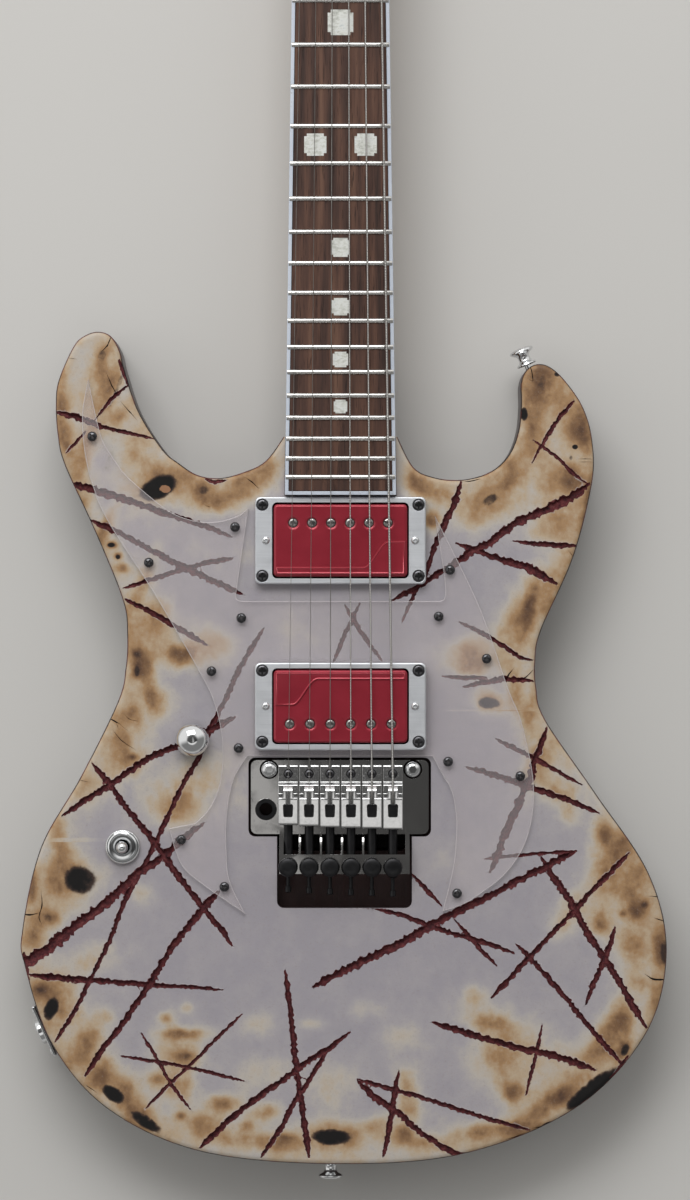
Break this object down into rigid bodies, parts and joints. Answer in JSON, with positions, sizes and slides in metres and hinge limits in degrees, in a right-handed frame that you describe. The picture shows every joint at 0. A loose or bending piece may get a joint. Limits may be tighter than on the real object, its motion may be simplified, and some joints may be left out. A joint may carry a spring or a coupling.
{
  "type": "electric guitar",
  "caption": "Left-handed double-cutaway electric guitar with a double-locking tremolo, its pale body gouged, scorched and burned, lying on its back.",
  "frame": {"origin": "on the flat back of the body, on the centre line, below the string saddles", "axes": "+Y towards the headstock, +Z out of the front, +X towards the bass side"},
  "size_m": [0.335, 1.0543, 0.061],
  "materials": {
    "body_finish": "worn pale paint over dark red wood, gouged and scorched",
    "neck_wood": "satin oiled",
    "board_wood": "open-grained dark wood",
    "binding": "polished",
    "black_steel": "blackened steel",
    "guard_acrylic": "milky clear acrylic",
    "ring_aluminium": "brushed",
    "red_cover": "red anodised",
    "chrome": "polished, lightly worn",
    "steel": "plain",
    "string_wire": "plain and wound wire",
    "back_cover": "satin black"
  },
  "bodies": {
    "guitar": {"body": "body_finish", "neck": "neck_wood", "fretboard": "board_wood", "fretboard_binding": "binding", "truss_rod": "black_steel", "locking_nut": "black_steel", "string_retainer_bar": "black_steel", "pickguard": "guard_acrylic", "neck_pickup_ring": "ring_aluminium", "bridge_pickup_ring": "ring_aluminium", "neck_pickup": "red_cover", "bridge_pickup": "red_cover", "pivot_stud_1": "chrome", "pivot_stud_2": "chrome", "switch_body": "chrome", "jack_plate": "chrome", "jack_socket": "chrome", "strap_button_horn": "chrome", "strap_button_tail": "chrome", "spring_claw": "steel", "volume_pot": "steel", "trem_spring_1": "steel", "trem_spring_2": "steel", "trem_spring_3": "steel", "string_1": "string_wire", "string_2": "string_wire", "string_3": "string_wire", "string_4": "string_wire", "string_5": "string_wire", "string_6": "string_wire", "spring_cover": "back_cover", "control_cover": "back_cover"},
    "tremolo": {"trem_baseplate": "chrome", "trem_block": "steel", "saddle_1": "chrome", "saddle_2": "chrome", "saddle_3": "chrome", "saddle_4": "chrome", "saddle_5": "chrome", "saddle_6": "chrome"},
    "volume_knob": {"volume_knob": "chrome"},
    "switch_lever": {"switch_lever": "chrome"},
    "fine_tuner_1": {"fine_tuner_1": "black_steel"},
    "tuner_button_1": {"tuner_button_1": "chrome"},
    "tuner_post_1": {"tuner_post_1": "chrome"},
    "fine_tuner_2": {"fine_tuner_2": "black_steel"},
    "tuner_button_2": {"tuner_button_2": "chrome"},
    "tuner_post_2": {"tuner_post_2": "chrome"},
    "fine_tuner_3": {"fine_tuner_3": "black_steel"},
    "tuner_button_3": {"tuner_button_3": "chrome"},
    "tuner_post_3": {"tuner_post_3": "chrome"},
    "fine_tuner_4": {"fine_tuner_4": "black_steel"},
    "tuner_button_4": {"tuner_button_4": "chrome"},
    "tuner_post_4": {"tuner_post_4": "chrome"},
    "fine_tuner_5": {"fine_tuner_5": "black_steel"},
    "tuner_button_5": {"tuner_button_5": "chrome"},
    "tuner_post_5": {"tuner_post_5": "chrome"},
    "fine_tuner_6": {"fine_tuner_6": "black_steel"},
    "tuner_button_6": {"tuner_button_6": "chrome"},
    "tuner_post_6": {"tuner_post_6": "chrome"}
  },
  "joints": [
    {"name": "tremolo_pivot", "type": "hinge", "parent": "guitar", "child": "tremolo", "pos_m": [0, 0.0107, 0.0429], "axis": [1, 0, 0], "range_deg": [-18, 6], "stiffness_Nm_per_rad": 12, "springref_deg": -0.43, "deforming": ["trem_spring_1", "trem_spring_2", "trem_spring_3", "string_1", "string_2", "string_3", "string_4", "string_5", "string_6"]},
    {"name": "volume_turn", "type": "hinge", "parent": "guitar", "child": "volume_knob", "pos_m": [-0.0766, 0.0263, 0.0466], "axis": [0, 0, 1], "range_deg": [-150, 150]},
    {"name": "pickup_switch", "type": "hinge", "parent": "guitar", "child": "switch_lever", "pos_m": [-0.1128, -0.0293, 0.0405], "axis": [1, 0, 0], "range_deg": [-12, 12]},
    {"name": "fine_tuner_turn_1", "type": "hinge", "parent": "tremolo", "child": "fine_tuner_1", "pos_m": [-0.02707, -0.0394, 0.0523], "axis": [0, 0, 1], "range_deg": [-360, 360]},
    {"name": "fine_tuner_turn_2", "type": "hinge", "parent": "tremolo", "child": "fine_tuner_2", "pos_m": [-0.01624, -0.0394, 0.0523], "axis": [0, 0, 1], "range_deg": [-360, 360]},
    {"name": "fine_tuner_turn_3", "type": "hinge", "parent": "tremolo", "child": "fine_tuner_3", "pos_m": [-0.00541, -0.0394, 0.0523], "axis": [0, 0, 1], "range_deg": [-360, 360]},
    {"name": "fine_tuner_turn_4", "type": "hinge", "parent": "tremolo", "child": "fine_tuner_4", "pos_m": [0.00541, -0.0394, 0.0523], "axis": [0, 0, 1], "range_deg": [-360, 360]},
    {"name": "fine_tuner_turn_5", "type": "hinge", "parent": "tremolo", "child": "fine_tuner_5", "pos_m": [0.01624, -0.0394, 0.0523], "axis": [0, 0, 1], "range_deg": [-360, 360]},
    {"name": "fine_tuner_turn_6", "type": "hinge", "parent": "tremolo", "child": "fine_tuner_6", "pos_m": [0.02707, -0.0394, 0.0523], "axis": [0, 0, 1], "range_deg": [-360, 360]},
    {"name": "tuner_button_turn_1", "type": "hinge", "parent": "guitar", "child": "tuner_button_1", "pos_m": [0.02164, 0.699, 0.02445], "axis": [0.9589, 0.2837, 0], "continuous": true},
    {"name": "tuner_post_turn_1", "type": "hinge", "parent": "guitar", "child": "tuner_post_1", "pos_m": [0.02164, 0.699, 0.0547], "axis": [0, 0, 1], "continuous": true},
    {"name": "tuner_button_turn_2", "type": "hinge", "parent": "guitar", "child": "tuner_button_2", "pos_m": [0.0144, 0.723, 0.02445], "axis": [0.9589, 0.2837, 0], "continuous": true},
    {"name": "tuner_post_turn_2", "type": "hinge", "parent": "guitar", "child": "tuner_post_2", "pos_m": [0.0144, 0.723, 0.0547], "axis": [0, 0, 1], "continuous": true},
    {"name": "tuner_button_turn_3", "type": "hinge", "parent": "guitar", "child": "tuner_button_3", "pos_m": [0.00718, 0.747, 0.02445], "axis": [0.9589, 0.2837, 0], "continuous": true},
    {"name": "tuner_post_turn_3", "type": "hinge", "parent": "guitar", "child": "tuner_post_3", "pos_m": [0.00718, 0.747, 0.0547], "axis": [0, 0, 1], "continuous": true},
    {"name": "tuner_button_turn_4", "type": "hinge", "parent": "guitar", "child": "tuner_button_4", "pos_m": [-0.00003, 0.771, 0.02445], "axis": [0.9589, 0.2837, 0], "continuous": true},
    {"name": "tuner_post_turn_4", "type": "hinge", "parent": "guitar", "child": "tuner_post_4", "pos_m": [-0.00003, 0.771, 0.0547], "axis": [0, 0, 1], "continuous": true},
    {"name": "tuner_button_turn_5", "type": "hinge", "parent": "guitar", "child": "tuner_button_5", "pos_m": [-0.00719, 0.795, 0.02445], "axis": [0.9589, 0.2837, 0], "continuous": true},
    {"name": "tuner_post_turn_5", "type": "hinge", "parent": "guitar", "child": "tuner_post_5", "pos_m": [-0.00719, 0.795, 0.0547], "axis": [0, 0, 1], "continuous": true},
    {"name": "tuner_button_turn_6", "type": "hinge", "parent": "guitar", "child": "tuner_button_6", "pos_m": [-0.01432, 0.819, 0.02445], "axis": [0.9589, 0.2837, 0], "continuous": true},
    {"name": "tuner_post_turn_6", "type": "hinge", "parent": "guitar", "child": "tuner_post_6", "pos_m": [-0.01432, 0.819, 0.0547], "axis": [0, 0, 1], "continuous": true}
  ],
  "couplings": [
    {"joint": "tuner_post_turn_1", "follows": "tuner_button_turn_1", "ratio": 0.071429},
    {"joint": "tuner_post_turn_2", "follows": "tuner_button_turn_2", "ratio": 0.071429},
    {"joint": "tuner_post_turn_3", "follows": "tuner_button_turn_3", "ratio": 0.071429},
    {"joint": "tuner_post_turn_4", "follows": "tuner_button_turn_4", "ratio": 0.071429},
    {"joint": "tuner_post_turn_5", "follows": "tuner_button_turn_5", "ratio": 0.071429},
    {"joint": "tuner_post_turn_6", "follows": "tuner_button_turn_6", "ratio": 0.071429}
  ]
}
